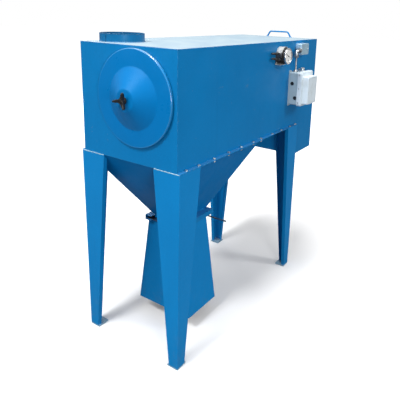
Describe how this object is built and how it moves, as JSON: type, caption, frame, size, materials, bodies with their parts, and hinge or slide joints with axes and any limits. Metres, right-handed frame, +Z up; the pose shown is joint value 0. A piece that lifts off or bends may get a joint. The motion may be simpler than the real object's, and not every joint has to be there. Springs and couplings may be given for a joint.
{
  "type": "cartridge dust collector",
  "caption": "Cartridge dust collector on four formed legs: sheet steel cabinet with round access cover, inlet collar, hopper, slide gate and tapered drop chute.",
  "frame": {"origin": "on the floor, at the centre of the four anchor holes", "axes": "+Z up along the inlet collar, -Y towards the round access cover, +X towards the side with the gauge and boxes"},
  "size_m": [0.82, 1.7435, 1.758],
  "materials": {
    "blue_paint": "semi-gloss enamel",
    "foot_steel": "worn blue-grey paint",
    "bare_steel": "mill finish",
    "gate_steel": "dull",
    "zinc_steel": "zinc plated",
    "seal_rubber": "matt",
    "black_plastic": "moulded",
    "white_plastic": "gloss",
    "pale_plastic": "moulded, pale grey",
    "filter_media": "pleated filter paper"
  },
  "bodies": {
    "housing": {"front_wall": "blue_paint", "left_wall": "blue_paint", "right_wall": "blue_paint", "rear_wall": "blue_paint", "roof": "blue_paint", "cabinet_floor": "blue_paint", "fan_box_front": "blue_paint", "fan_box_floor": "blue_paint", "tube_sheet": "bare_steel", "duct_collar": "blue_paint", "roof_handle": "blue_paint", "front_left_leg": "blue_paint", "front_right_leg": "blue_paint", "rear_left_leg": "blue_paint", "rear_right_leg": "blue_paint", "front_left_foot": "foot_steel", "front_right_foot": "foot_steel", "rear_left_foot": "foot_steel", "rear_right_foot": "foot_steel", "hopper": "blue_paint", "left_gate_rail": "blue_paint", "right_gate_rail": "blue_paint", "drop_chute": "blue_paint", "draw_rod": "bare_steel", "filter_cartridge": "filter_media", "gauge_bracket": "zinc_steel", "gauge_body": "black_plastic", "gauge_dial": "white_plastic", "gauge_ports": "zinc_steel", "junction_box": "zinc_steel", "conduit_elbow": "zinc_steel", "conduit": "zinc_steel", "conduit_gland": "zinc_steel", "enclosure_base": "pale_plastic", "enclosure_lid": "pale_plastic", "hole_plugs": "black_plastic", "cable_fitting": "zinc_steel"},
    "cover": {"access_cover": "blue_paint", "cover_seal": "seal_rubber"},
    "knob": {"cover_knob": "black_plastic"},
    "gate": {"gate_blade": "gate_steel", "gate_bar": "gate_steel"}
  },
  "joints": [
    {"name": "cover_lift_off", "type": "slide", "parent": "housing", "child": "cover", "axis": [0, -1, 0], "range_m": [0, 0.25]},
    {"name": "knob_turn", "type": "hinge", "parent": "cover", "child": "knob", "pos_m": [0.06, -0.745, 1.451], "axis": [0, -1, 0], "continuous": true},
    {"name": "gate_pull", "type": "slide", "parent": "housing", "child": "gate", "axis": [0, 1, 0], "range_m": [0, 0.27]}
  ]
}
